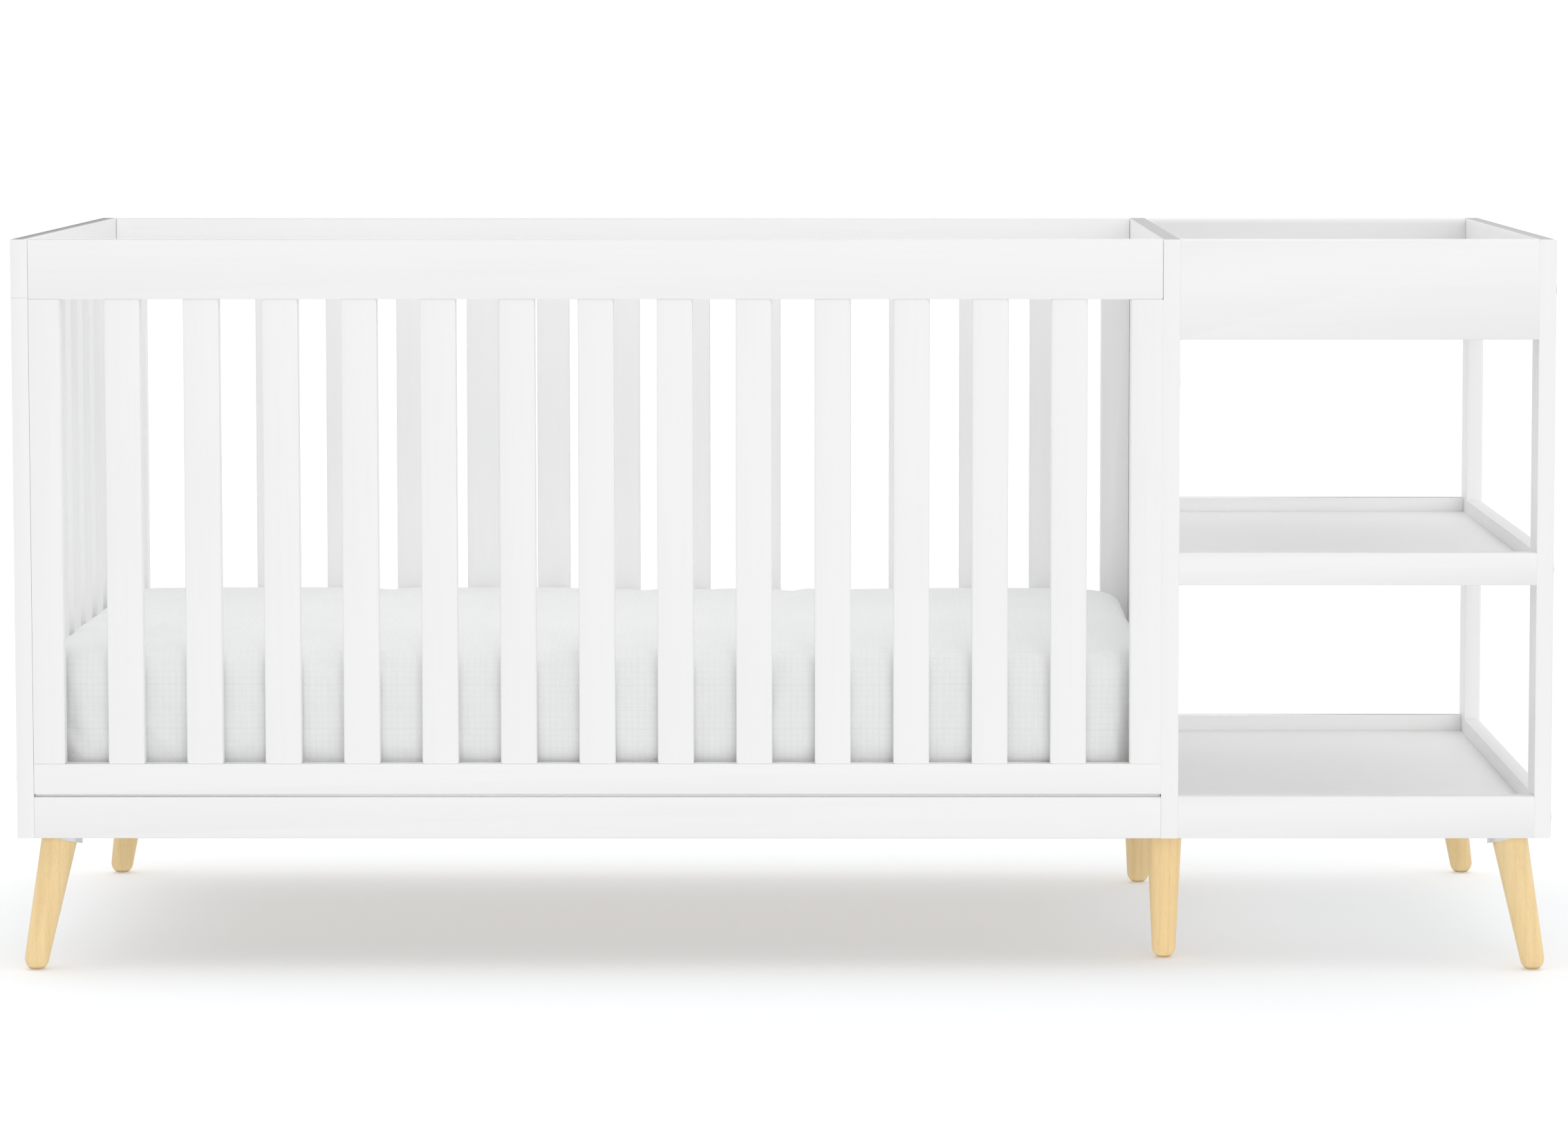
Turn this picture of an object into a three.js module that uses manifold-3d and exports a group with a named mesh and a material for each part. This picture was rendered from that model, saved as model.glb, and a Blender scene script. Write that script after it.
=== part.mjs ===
// Crib with a changing table joined to its right end, on six round wooden legs.
// Units are millimetres, +Z up, +X to the changing table's end, -Y is the front.
// The origin is on the floor under the middle of the whole object.

import * as THREE from 'three';
import { mergeVertices } from 'three/addons/utils/BufferGeometryUtils.js';
import Module from 'manifold-3d';

// ---------------------------------------------------------------- driving dimensions
const CRIB_LENGTH = 1331;      // inside the crib, end panel to end panel
const CRIB_WIDTH = 711;        // inside the crib, front panel to back panel
const BOARD = 20;              // thickness of every rail, stile, post and apron
const CHANGER_WIDTH = 421;     // clear width between the middle panel and the right end frame
const TOP = 867;               // top edge of every rail, all at one height
const UNDERSIDE = 159.5;       // lower edge of skirts, shelf rails, panels and frame
const FIT = 0.2;               // gap left at every glued or bolted face

const TOP_RAIL_LOW = 797;      // front and back panels
const BOTTOM_RAIL_LOW = 212;
const BOTTOM_RAIL_TOP = 248;
const PANEL_STILE = 37;
const PANEL_GAP = 0.4;         // between a long panel and the end panels
const SLAT_WIDTH = 42.4;
const SLAT_THICK = 18;         // nearly flush with the rails' faces
const SLAT_PITCH = 92.6;
const SLAT_COUNT = 13;
const SKIRT_TOP = 208.8;

const END_STILE = 60;          // depth of the end panels' stiles and the end frame's posts
const END_TOP_RAIL_LOW = 800;
const END_BOTTOM_RAIL_TOP = 232;
const END_SLATS = 6;
const END_SLAT_THICK = 14;

const APRON_LOW = 749.5;       // changing tray walls
const TRAY_FLOOR_TOP = 767;
const SHELF_BOARD = 12;
const MIDDLE_RAIL_LOW = 460;
const MIDDLE_RAIL_TOP = 498.5;
const MIDDLE_SHELF_TOP = 481;
const BOTTOM_SHELF_RAIL_TOP = 209.5;
const BOTTOM_SHELF_TOP = 189.5;

const BEARER_WIDE = 70;        // boards that the legs screw into
const BEARER_CENTRE_WIDE = 60;
const BEARER_LOW = 160;
const BEARER_TOP = 177.2;

const LEG_TOP = 159.8;
const LEG_D_TOP = 42.6;
const LEG_D_FLOOR = 27.4;
const LEG_TIP_HIGH = 13.6;     // the tip is nearly a half ball, with a small flat to stand on
const LEG_TIP_ROUND = 14.3;
const LEG_INSET_TOP = 44.3;    // corner leg axis, in from both outer faces
const LEG_INSET_FLOOR = 16;
const MIDDLE_LEG_INSET = 98;   // middle leg axis, in from the front and back faces

const MATTRESS_LENGTH = 1312;  // outside the fitted sheet
const MATTRESS_WIDTH = 694;
const MATTRESS_LOW = 238;
const MATTRESS_TOP = 382;
const MATTRESS_CORNER = 50;
const MATTRESS_SHIFT = -4;     // it lies a little nearer the left end
const SHEET = 2;               // cloth with its give, round the mattress

const DECK_TOP = 237.4;        // slatted wooden mattress base
const DECK_CLEAR = 5;          // from the base to the crib's inner faces
const DECK_END_LOW = 180;      // lower edge of its end boards, which bolt to the end panels
const DECK_END_THICK = 20;
const DECK_RAIL_WIDE = 24;
const DECK_RAIL_HIGH = 20;
const DECK_SLATS = 11;
const DECK_SLAT_WIDE = 60;
const DECK_SLAT_HIGH = 10;

// ---------------------------------------------------------------- positions that follow
const LENGTH = BOARD + CRIB_LENGTH + BOARD + CHANGER_WIDTH + BOARD;
const DEPTH = CRIB_WIDTH + 2 * BOARD;
const LEFT = -LENGTH / 2;
const RIGHT = LENGTH / 2;
const FRONT = -DEPTH / 2;
const BACK = DEPTH / 2;
const CRIB_X0 = LEFT + BOARD;
const CRIB_X1 = CRIB_X0 + CRIB_LENGTH;
const CHANGER_X0 = CRIB_X1 + BOARD;
const CHANGER_X1 = CHANGER_X0 + CHANGER_WIDTH;
const IN_FRONT = FRONT + BOARD;
const IN_BACK = BACK - BOARD;
const CRIB_MID = (CRIB_X0 + CRIB_X1) / 2;

const wasm = await Module();
wasm.setup();

// ---------------------------------------------------------------- finishes
const paint = () => new THREE.MeshStandardMaterial({ color: 0xf1f1ef, roughness: 0.42, metalness: 0 });
const wood = () => new THREE.MeshStandardMaterial({ color: 0xe9c78f, roughness: 0.55, metalness: 0 });
const baseWood = () => new THREE.MeshStandardMaterial({ color: 0xe3cda4, roughness: 0.65, metalness: 0 });
const foam = () => new THREE.MeshStandardMaterial({ color: 0xf4f3ee, roughness: 0.7, metalness: 0 });
const cotton = () => new THREE.MeshStandardMaterial({ color: 0xe6e8e8, roughness: 0.95, metalness: 0 });

const object = new THREE.Group();

function add(name, geometry, material) {
  const mesh = new THREE.Mesh(geometry, material);
  mesh.name = name;
  object.add(mesh);
  return mesh;
}

// A box between two corners.
function block(x0, x1, y0, y1, z0, z1) {
  const g = new THREE.BoxGeometry(x1 - x0, y1 - y0, z1 - z0);
  g.translate((x0 + x1) / 2, (y0 + y1) / 2, (z0 + z1) / 2);
  return g;
}

// Corners are set on a grid of 1/256 mm, so that faces meant to be level are exactly level.
function toSolid(geometry) {
  let g = geometry.clone();
  g.deleteAttribute('normal');
  g.deleteAttribute('uv');
  const p = g.attributes.position.array;
  for (let i = 0; i < p.length; i++) p[i] = Math.round(p[i] * 256) / 256;
  g = mergeVertices(g, 1e-4);
  return new wasm.Manifold(new wasm.Mesh({
    numProp: 3,
    vertProperties: new Float32Array(g.attributes.position.array),
    triVerts: new Uint32Array(g.index.array),
  }));
}

function toGeometry(solid) {
  const m = solid.getMesh();
  const g = new THREE.BufferGeometry();
  const step = m.numProp;
  const count = m.vertProperties.length / step;
  const position = new Float32Array(count * 3);
  for (let i = 0; i < count; i++) {
    for (let k = 0; k < 3; k++) position[3 * i + k] = m.vertProperties[step * i + k];
  }
  g.setAttribute('position', new THREE.BufferAttribute(position, 3));
  g.setIndex(new THREE.BufferAttribute(new Uint32Array(m.triVerts), 1));
  g.computeVertexNormals();
  return g;
}

const cut = (a, ...others) => others.reduce((s, o) => s.subtract(toSolid(o)), a);
const join = (a, ...others) => others.reduce((s, o) => s.add(toSolid(o)), a);

// ---------------------------------------------------------------- front and back panels
// Each is a top rail and a bottom rail with two stiles and thirteen slats between them.
function longPanel(side, y0, y1) {
  const x0 = CRIB_X0 + PANEL_GAP;
  const x1 = CRIB_X1 - PANEL_GAP;
  const ym = (y0 + y1) / 2;
  add(`${side}_top_rail`, block(x0, x1, y0, y1, TOP_RAIL_LOW, TOP), paint());
  add(`${side}_bottom_rail`, block(x0, x1, y0, y1, BOTTOM_RAIL_LOW, BOTTOM_RAIL_TOP), paint());
  const z0 = BOTTOM_RAIL_TOP + FIT;
  const z1 = TOP_RAIL_LOW - FIT;
  add(`${side}_left_stile`, block(x0, x0 + PANEL_STILE, y0, y1, z0, z1), paint());
  add(`${side}_right_stile`, block(x1 - PANEL_STILE, x1, y0, y1, z0, z1), paint());
  for (let i = 0; i < SLAT_COUNT; i++) {
    const c = CRIB_MID + (i - (SLAT_COUNT - 1) / 2) * SLAT_PITCH;
    add(`${side}_slat_${String(i + 1).padStart(2, '0')}`,
      block(c - SLAT_WIDTH / 2, c + SLAT_WIDTH / 2, ym - SLAT_THICK / 2, ym + SLAT_THICK / 2, z0, z1), paint());
  }
}
longPanel('front', FRONT, IN_FRONT);
longPanel('back', IN_BACK, BACK);

// ---------------------------------------------------------------- end panels
// A glued ladder: two stiles, a top and a bottom rail, six slats thinner than the frame.
function endPanel(name, x0, topRailLow, bottomRailLow) {
  const x1 = x0 + BOARD;
  let s = toSolid(block(x0, x1, FRONT, BACK, UNDERSIDE, TOP));
  const y0 = FRONT + END_STILE;
  const y1 = BACK - END_STILE;
  const gap = (y1 - y0 - END_SLATS * SLAT_WIDTH) / (END_SLATS + 1);
  const recess = (BOARD - END_SLAT_THICK) / 2;
  for (let i = 0; i <= END_SLATS; i++) {
    const a = y0 + i * (gap + SLAT_WIDTH);
    s = cut(s, block(x0 - 5, x1 + 5, a, a + gap, END_BOTTOM_RAIL_TOP, topRailLow));
  }
  for (const [a, b] of [[x0 - 5, x0 + recess], [x1 - recess, x1 + 5]]) {
    s = cut(s, block(a, b, y0, y1, END_BOTTOM_RAIL_TOP, topRailLow));
  }
  if (bottomRailLow > UNDERSIDE) {
    s = cut(s, block(x0 - 5, x1 + 5, y0, y1, UNDERSIDE - 5, bottomRailLow));
  }
  add(name, toGeometry(s), paint());
}
endPanel('left_end_panel', LEFT, END_TOP_RAIL_LOW, UNDERSIDE);
endPanel('middle_end_panel', CRIB_X1, APRON_LOW, BEARER_TOP + FIT);

// ---------------------------------------------------------------- skirts under the crib
for (const [side, y0, y1] of [['front', FRONT, IN_FRONT], ['back', IN_BACK, BACK]]) {
  add(`${side}_skirt`, block(CRIB_X0 + FIT, CRIB_X1 - FIT, y0, y1, UNDERSIDE, SKIRT_TOP), paint());
}

// ---------------------------------------------------------------- changing table
// Right end frame: two posts joined by a deep top rail, a middle rail and a bottom rail.
{
  const y0 = FRONT + END_STILE;
  const y1 = BACK - END_STILE;
  let s = toSolid(block(CHANGER_X1, RIGHT, FRONT, BACK, UNDERSIDE, TOP));
  s = cut(s,
    block(CHANGER_X1 - 5, RIGHT + 5, y0, y1, MIDDLE_RAIL_TOP, APRON_LOW),
    block(CHANGER_X1 - 5, RIGHT + 5, y0, y1, BOTTOM_SHELF_RAIL_TOP, MIDDLE_RAIL_LOW));
  add('changer_end_frame', toGeometry(s), paint());
}
const cx0 = CHANGER_X0 + FIT;
const cx1 = CHANGER_X1 - FIT;
const sy0 = IN_FRONT + FIT;
const sy1 = IN_BACK - FIT;
for (const [side, y0, y1] of [['front', FRONT, IN_FRONT], ['back', IN_BACK, BACK]]) {
  add(`changer_${side}_apron`, block(cx0, cx1, y0, y1, APRON_LOW, TOP), paint());
  add(`middle_shelf_${side}_rail`, block(cx0, cx1, y0, y1, MIDDLE_RAIL_LOW, MIDDLE_RAIL_TOP), paint());
  add(`bottom_shelf_${side}_rail`, block(cx0, cx1, y0, y1, UNDERSIDE, BOTTOM_SHELF_RAIL_TOP), paint());
}
add('changer_tray_floor', block(cx0, cx1, sy0, sy1, TRAY_FLOOR_TOP - SHELF_BOARD, TRAY_FLOOR_TOP), paint());
add('middle_shelf', block(cx0, cx1, sy0, sy1, MIDDLE_SHELF_TOP - SHELF_BOARD, MIDDLE_SHELF_TOP), paint());
add('bottom_shelf', block(cx0, cx1, sy0, sy1, BOTTOM_SHELF_TOP - SHELF_BOARD, BOTTOM_SHELF_TOP), paint());

// ---------------------------------------------------------------- leg bearers
add('left_leg_bearer', block(CRIB_X0 + FIT, CRIB_X0 + BEARER_WIDE, sy0, sy1, BEARER_LOW, BEARER_TOP), paint());
add('right_leg_bearer', block(CHANGER_X1 - BEARER_WIDE, CHANGER_X1 - FIT, sy0, sy1, BEARER_LOW, BEARER_TOP), paint());
{
  const mid = CRIB_X1 + BOARD / 2;
  add('centre_leg_bearer', block(mid - BEARER_CENTRE_WIDE / 2, mid + BEARER_CENTRE_WIDE / 2,
    FRONT + END_STILE + FIT, BACK - END_STILE - FIT, BEARER_LOW, BEARER_TOP), paint());
}

// ---------------------------------------------------------------- legs
// A turned taper with a rounded tip. The corner legs lean outwards both ways;
// each is cut level under its bearer and level on the floor.
function leg(name, topX, topY, footX, footY) {
  const foot = new THREE.Vector3(footX, footY, 0);
  const head = new THREE.Vector3(topX, topY, LEG_TOP);
  const along = head.clone().sub(foot);
  const long = along.length();
  const taper = (LEG_D_TOP - LEG_D_FLOOR) / 2 / long;
  const radius = (h) => LEG_D_FLOOR / 2 + taper * h;
  const profile = [new THREE.Vector2(0, LEG_TIP_HIGH - LEG_TIP_ROUND)];
  for (let k = 1; k <= 8; k++) {
    const a = (k / 8) * Math.PI / 2;
    profile.push(new THREE.Vector2(Math.sin(a) * radius(LEG_TIP_HIGH), LEG_TIP_HIGH - LEG_TIP_ROUND * Math.cos(a)));
  }
  profile.push(new THREE.Vector2(radius(long / 2), long / 2));
  profile.push(new THREE.Vector2(radius(long + 20), long + 20));
  profile.push(new THREE.Vector2(0, long + 20));
  const g = new THREE.LatheGeometry(profile, 36);
  g.rotateX(Math.PI / 2);
  const turn = new THREE.Quaternion().setFromUnitVectors(new THREE.Vector3(0, 0, 1), along.clone().normalize());
  g.applyQuaternion(turn);
  g.translate(foot.x, foot.y, foot.z);
  const slab = toSolid(block(-2000, 2000, -2000, 2000, 0, LEG_TOP));
  add(name, toGeometry(toSolid(g).intersect(slab)), wood());
}
for (const [end, sx] of [['left', -1], ['right', 1]]) {
  for (const [side, sy] of [['front', -1], ['back', 1]]) {
    leg(`${side}_${end}_leg`,
      sx * (RIGHT - LEG_INSET_TOP), sy * (BACK - LEG_INSET_TOP),
      sx * (RIGHT - LEG_INSET_FLOOR), sy * (BACK - LEG_INSET_FLOOR));
  }
}
for (const [side, sy] of [['front', -1], ['back', 1]]) {
  const x = CRIB_X1 + BOARD / 2;
  const y = sy * (BACK - MIDDLE_LEG_INSET);
  leg(`${side}_middle_leg`, x, y, x, y);
}

// ---------------------------------------------------------------- mattress support
// A glued wooden base: two deep end boards, two long rails and eleven cross slats let into the rails.
{
  const x0 = CRIB_X0 + DECK_CLEAR;
  const x1 = CRIB_X1 - DECK_CLEAR;
  const y0 = IN_FRONT + DECK_CLEAR;
  const y1 = IN_BACK - DECK_CLEAR;
  const a0 = x0 + DECK_END_THICK;
  const a1 = x1 - DECK_END_THICK;
  let s = cut(toSolid(block(x0, x1, y0, y1, DECK_END_LOW, DECK_TOP)),
    block(a0, a1, y0 + DECK_RAIL_WIDE, y1 - DECK_RAIL_WIDE, DECK_END_LOW - 5, DECK_TOP + 5),
    block(a0, a1, y0 - 5, y1 + 5, DECK_END_LOW - 5, DECK_TOP - DECK_RAIL_HIGH));
  const slatTop = DECK_TOP - 0.5;
  const gap = (a1 - a0 - DECK_SLATS * DECK_SLAT_WIDE) / (DECK_SLATS + 1);
  for (let i = 0; i < DECK_SLATS; i++) {
    const x = a0 + gap + i * (gap + DECK_SLAT_WIDE);
    s = join(s, block(x, x + DECK_SLAT_WIDE, y0 + 10, y1 - 10, slatTop - DECK_SLAT_HIGH, slatTop));
  }
  add('mattress_support', toGeometry(s), baseWood());
}

// ---------------------------------------------------------------- mattress and sheet
function pad(length, width, corner, z0, z1) {
  const a = length / 2;
  const b = width / 2;
  const shape = new THREE.Shape();
  shape.moveTo(-a + corner, -b);
  shape.lineTo(a - corner, -b);
  shape.absarc(a - corner, -b + corner, corner, -Math.PI / 2, 0, false);
  shape.lineTo(a, b - corner);
  shape.absarc(a - corner, b - corner, corner, 0, Math.PI / 2, false);
  shape.lineTo(-a + corner, b);
  shape.absarc(-a + corner, b - corner, corner, Math.PI / 2, Math.PI, false);
  shape.lineTo(-a, -b + corner);
  shape.absarc(-a + corner, -b + corner, corner, Math.PI, 1.5 * Math.PI, false);
  const g = new THREE.ExtrudeGeometry(shape, { depth: z1 - z0, bevelEnabled: false, curveSegments: 8 });
  g.translate(CRIB_MID + MATTRESS_SHIFT, 0, z0);
  return g;
}
const SLACK = SHEET + 0.3;
add('mattress_core', pad(MATTRESS_LENGTH - 2 * SLACK, MATTRESS_WIDTH - 2 * SLACK, MATTRESS_CORNER - SLACK,
  MATTRESS_LOW, MATTRESS_TOP - SLACK), foam());
add('fitted_sheet', toGeometry(cut(
  toSolid(pad(MATTRESS_LENGTH, MATTRESS_WIDTH, MATTRESS_CORNER, MATTRESS_LOW, MATTRESS_TOP)),
  pad(MATTRESS_LENGTH - 2 * SHEET, MATTRESS_WIDTH - 2 * SHEET, MATTRESS_CORNER - SHEET,
    MATTRESS_LOW - 5, MATTRESS_TOP - SHEET))), cotton());

export default object;
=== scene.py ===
"""Looks of a white slatted crib joined to a changing table, on round wooden legs. Metres, +Z up, -Y is the front."""

import math

import bmesh
import bpy
import numpy as np
from mathutils import Matrix, Vector, noise


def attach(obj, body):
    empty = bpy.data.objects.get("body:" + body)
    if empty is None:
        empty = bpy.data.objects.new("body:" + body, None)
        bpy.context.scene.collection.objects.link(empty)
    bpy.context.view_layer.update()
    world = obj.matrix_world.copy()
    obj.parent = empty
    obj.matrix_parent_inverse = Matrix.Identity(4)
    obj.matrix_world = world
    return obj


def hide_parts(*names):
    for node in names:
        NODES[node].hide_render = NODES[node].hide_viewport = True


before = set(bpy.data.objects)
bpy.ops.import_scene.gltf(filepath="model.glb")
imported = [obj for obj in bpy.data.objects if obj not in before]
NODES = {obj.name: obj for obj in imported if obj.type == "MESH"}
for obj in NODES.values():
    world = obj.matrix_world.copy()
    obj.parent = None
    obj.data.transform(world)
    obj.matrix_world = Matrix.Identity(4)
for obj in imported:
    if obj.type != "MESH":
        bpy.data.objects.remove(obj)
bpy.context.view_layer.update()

ROOT, SUPPORT, MATTRESS = "crib_and_changer", "mattress_support", "mattress"
D = bpy.data
SCENE = bpy.context.scene

# ------------------------------------------------------------------ camera
# The picture is 2268 x 1624 with a lens 7413 of its pixels long; the eye is 6 m in front of the object and a little above its top. The shift stays small, so that the object also fits the other views.
WIDE, HIGH = 2268, 1624
FOCAL = 7412.6
SHIFT_X, SHIFT_Y = -0.04316, -0.07
cam_data = D.cameras.new("camera")
cam = D.objects.new("camera", cam_data)
SCENE.collection.objects.link(cam)
SCENE.camera = cam
cam_data.sensor_width = 36.0
cam_data.lens = FOCAL / WIDE * 36.0
cam_data.shift_x = SHIFT_X
cam_data.shift_y = SHIFT_Y
cam.location = (0.0797, -6.3758, 1.0950)
cam.rotation_euler = (math.radians(90.0 - 4.547), 0.0, 0.0)
cam_data.clip_start, cam_data.clip_end = 0.1, 200.0


# ------------------------------------------------------------------ node helpers
def material(name):
    m = D.materials.new(name)
    m.use_nodes = True
    nt = m.node_tree
    nt.nodes.clear()
    out = nt.nodes.new("ShaderNodeOutputMaterial")
    bsdf = nt.nodes.new("ShaderNodeBsdfPrincipled")
    nt.links.new(bsdf.outputs[0], out.inputs[0])
    return m, nt, bsdf


def node(nt, kind, **values):
    n = nt.nodes.new(kind)
    for k, v in values.items():
        if k.startswith("i_"):
            n.inputs[k[2:]].default_value = v
        else:
            setattr(n, k, v)
    return n


def link(nt, a, b):
    nt.links.new(a, b)


def math_node(nt, op, a, b=None, clamp=False):
    n = nt.nodes.new("ShaderNodeMath")
    n.operation = op
    n.use_clamp = clamp
    for i, v in enumerate((a, b)):
        if v is None:
            continue
        if isinstance(v, (int, float)):
            n.inputs[i].default_value = v
        else:
            nt.links.new(v, n.inputs[i])
    return n.outputs[0]


def ramp(nt, value, stops):
    n = nt.nodes.new("ShaderNodeValToRGB")
    e = n.color_ramp.elements
    while len(e) < len(stops):
        e.new(0.5)
    for el, (p, c) in zip(e, stops):
        el.position = p
        el.color = (*c, 1.0) if len(c) == 3 else c
    nt.links.new(value, n.inputs[0])
    return n.outputs[0]


def mapped(nt, source, scale, rotation=(0, 0, 0), location=(0, 0, 0)):
    m = nt.nodes.new("ShaderNodeMapping")
    m.inputs["Scale"].default_value = scale
    m.inputs["Rotation"].default_value = rotation
    m.inputs["Location"].default_value = location
    nt.links.new(source, m.inputs["Vector"])
    return m.outputs[0]


def noise_node(nt, vector, scale, detail=3.0, rough=0.5, distortion=0.0):
    n = nt.nodes.new("ShaderNodeTexNoise")
    n.inputs["Scale"].default_value = scale
    n.inputs["Detail"].default_value = detail
    n.inputs["Roughness"].default_value = rough
    n.inputs["Distortion"].default_value = distortion
    nt.links.new(vector, n.inputs["Vector"])
    return n.outputs["Fac"]


def mix_colour(nt, factor, a, b, blend="MIX"):
    n = nt.nodes.new("ShaderNodeMix")
    n.data_type = "RGBA"
    n.blend_type = blend
    for sock, v in ((n.inputs[0], factor), (n.inputs[6], a), (n.inputs[7], b)):
        if isinstance(v, (int, float)):
            sock.default_value = v
        elif isinstance(v, tuple):
            sock.default_value = (*v, 1.0)
        else:
            nt.links.new(v, sock)
    return n.outputs[2]


def bump_chain(nt, bsdf, parts):
    """parts is [(height, distance in metres, strength), ...]; they add up."""
    last = None
    for height, distance, strength in parts:
        b = nt.nodes.new("ShaderNodeBump")
        b.inputs["Strength"].default_value = strength
        b.inputs["Distance"].default_value = distance
        nt.links.new(height, b.inputs["Height"])
        if last is not None:
            nt.links.new(last, b.inputs["Normal"])
        last = b.outputs[0]
    nt.links.new(last, bsdf.inputs["Normal"])


# ------------------------------------------------------------------ materials
def paint(name, along, seams=(), lift=0.0, glaze=None, tray=False, relief=0.22):
    """Satin white paint over wood. along is the board's length as a unit vector: the grain shows through faintly that
    way. seams are the heights of butt joints in the end panels' stiles, which the paint bridges with a faint line.
    glaze gives the faces that look up, above that height, a smooth gloss, and tray paints shade inside the changing
    tray: its long walls are greyed to 0.87 and its end walls to 0.955, fading out just under the rim. lift whitens the
    paint; the shelves use it as painted light for their shaded bay. relief is how far the grain stands out.
    """
    m, nt, bsdf = material(name)
    tc = nt.nodes.new("ShaderNodeTexCoord")
    pos = tc.outputs["Object"]
    stretch = tuple(3.0 if a else 90.0 for a in along)
    grain = noise_node(nt, mapped(nt, pos, stretch), 1.6, 4.0, 0.55)
    peel = noise_node(nt, pos, 420.0, 2.0, 0.5)
    cloud = noise_node(nt, pos, 3.2, 2.0, 0.5)
    shade = ramp(nt, cloud, [(0.25, (0.932 + lift, 0.934 + lift, 0.932 + lift)), (0.75, (0.950 + lift, 0.951 + lift, 0.949 + lift))])
    tint = ramp(nt, grain, [(0.35, (0.988, 0.988, 0.986)), (0.65, (1.0, 1.0, 1.0))])
    colour = mix_colour(nt, 1.0, shade, tint, "MULTIPLY")
    if seams:
        sep = nt.nodes.new("ShaderNodeSeparateXYZ")
        link(nt, pos, sep.inputs[0])
        line = None
        for z in seams:
            d = math_node(nt, "ABSOLUTE", math_node(nt, "SUBTRACT", sep.outputs[2], z))
            near = math_node(nt, "LESS_THAN", d, 0.0006)
            line = near if line is None else math_node(nt, "MAXIMUM", line, near)
        y = math_node(nt, "ABSOLUTE", sep.outputs[1])
        line = math_node(nt, "MULTIPLY", line, math_node(nt, "GREATER_THAN", y, 0.3155))
        colour = mix_colour(nt, line, colour, (0.83, 0.83, 0.825))
    if glaze is not None or tray:
        geo = nt.nodes.new("ShaderNodeNewGeometry")
        face, at = nt.nodes.new("ShaderNodeSeparateXYZ"), nt.nodes.new("ShaderNodeSeparateXYZ")
        link(nt, geo.outputs["Normal"], face.inputs[0])
        link(nt, pos, at.inputs[0])

        def more(value, limit):
            return math_node(nt, "GREATER_THAN", value, limit)

        def less(value, limit):
            return math_node(nt, "LESS_THAN", value, limit)

        def every(*masks):
            both = masks[0]
            for k in masks[1:]:
                both = math_node(nt, "MULTIPLY", both, k)
            return both

    if glaze is not None:
        top = nt.nodes.new("ShaderNodeMapRange")
        top.interpolation_type = "SMOOTHSTEP"
        top.inputs["From Min"].default_value = 0.93
        top.inputs["From Max"].default_value = 0.985
        link(nt, face.outputs[2], top.inputs["Value"])
        link(nt, every(top.outputs[0], more(at.outputs[2], glaze)), bsdf.inputs["Coat Weight"])
        bsdf.inputs["Coat Roughness"].default_value = 0.07
        bsdf.inputs["Coat IOR"].default_value = 1.5
    # Painted shade inside the changing tray: the long walls are greyed to 0.87 and the end walls to 0.955, fading out
    # over the last 7.5 mm below the rim.
    if tray:
        across = math_node(nt, "ABSOLUTE", math_node(nt, "SUBTRACT", at.outputs[0], 0.6755))
        depth = nt.nodes.new("ShaderNodeMapRange")
        depth.interpolation_type = "SMOOTHSTEP"
        depth.inputs["From Min"].default_value = 0.8590
        depth.inputs["From Max"].default_value = 0.8665
        depth.inputs["To Min"].default_value = 1.0
        depth.inputs["To Max"].default_value = 0.0
        link(nt, at.outputs[2], depth.inputs["Value"])
        inside = every(less(across, 0.2112), less(math_node(nt, "ABSOLUTE", at.outputs[1]), 0.3562), more(at.outputs[2], 0.7660), depth.outputs[0])
        long_wall = more(math_node(nt, "ABSOLUTE", face.outputs[1]), 0.6)
        end_wall = more(math_node(nt, "ABSOLUTE", face.outputs[0]), 0.6)
        colour = mix_colour(nt, every(inside, long_wall), colour, (0.87, 0.87, 0.87), "MULTIPLY")
        colour = mix_colour(nt, every(inside, end_wall), colour, (0.955, 0.955, 0.955), "MULTIPLY")
    link(nt, colour, bsdf.inputs["Base Color"])
    rough = nt.nodes.new("ShaderNodeMapRange")
    rough.inputs["To Min"].default_value = 0.38
    rough.inputs["To Max"].default_value = 0.48
    link(nt, cloud, rough.inputs["Value"])
    link(nt, rough.outputs[0], bsdf.inputs["Roughness"])
    bump_chain(nt, bsdf, [(grain, 0.00035, relief), (peel, 0.00008, 0.3)])
    return m


PAINT_X = paint("paint_along_x", (1, 0, 0))
# The shelves and the back shelf rails get a whiter copy of the paint: painted light for the shaded bay under the
# changer.
SHELF = paint("paint_shelves_lit", (1, 0, 0), (), 0.030)
SHELF_RAIL_LIT = paint("paint_shelf_rails_lit", (1, 0, 0), (), 0.022, glaze=0.2)
PAINT_Y = paint("paint_along_y", (0, 1, 0))
PAINT_Z = paint("paint_along_z", (0, 0, 1))
PAINT_LEFT = paint("paint_left_panel", (0, 0, 1), (0.7985,), glaze=0.866, relief=0.03)
# The middle panel, end frame and aprons carry the painted shade inside the changing tray.
PAINT_MIDDLE = paint("paint_middle_panel", (0, 0, 1), glaze=0.866, tray=True)
PAINT_FRAME = paint("paint_end_frame", (0, 0, 1), glaze=0.866, tray=True)
PAINT_APRON = paint("paint_apron", (1, 0, 0), tray=True)


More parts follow.
